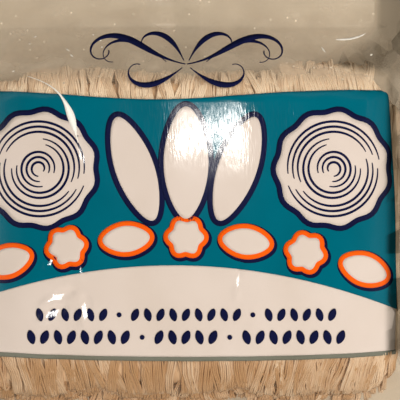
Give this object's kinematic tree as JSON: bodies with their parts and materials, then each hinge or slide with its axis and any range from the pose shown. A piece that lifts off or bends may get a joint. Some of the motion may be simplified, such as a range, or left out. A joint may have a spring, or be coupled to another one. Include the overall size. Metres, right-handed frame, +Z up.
{
  "type": "clear bag of dried rice vermicelli",
  "caption": "Clear film pillow bag, crimp-sealed across both ends, around a folded block of dried rice vermicelli, with a printed front panel.",
  "frame": {"origin": "on the surface that the bag lies on, under the middle of its outline", "axes": "+X across the bag to the right of its printed front, +Y towards the longer header, +Z up out of the printed front"},
  "size_m": [0.208, 0.202, 0.046],
  "materials": {
    "film": "clear glossy film over cream noodles",
    "noodles": "dry, slightly translucent rice noodle",
    "print_teal": "glossy ink under clear film",
    "print_cream": "glossy ink under clear film",
    "print_navy": "glossy ink under clear film",
    "print_orange": "glossy ink under clear film"
  },
  "bodies": {
    "root": {"vermicelli_bag": "film"}
  },
  "joints": []
}
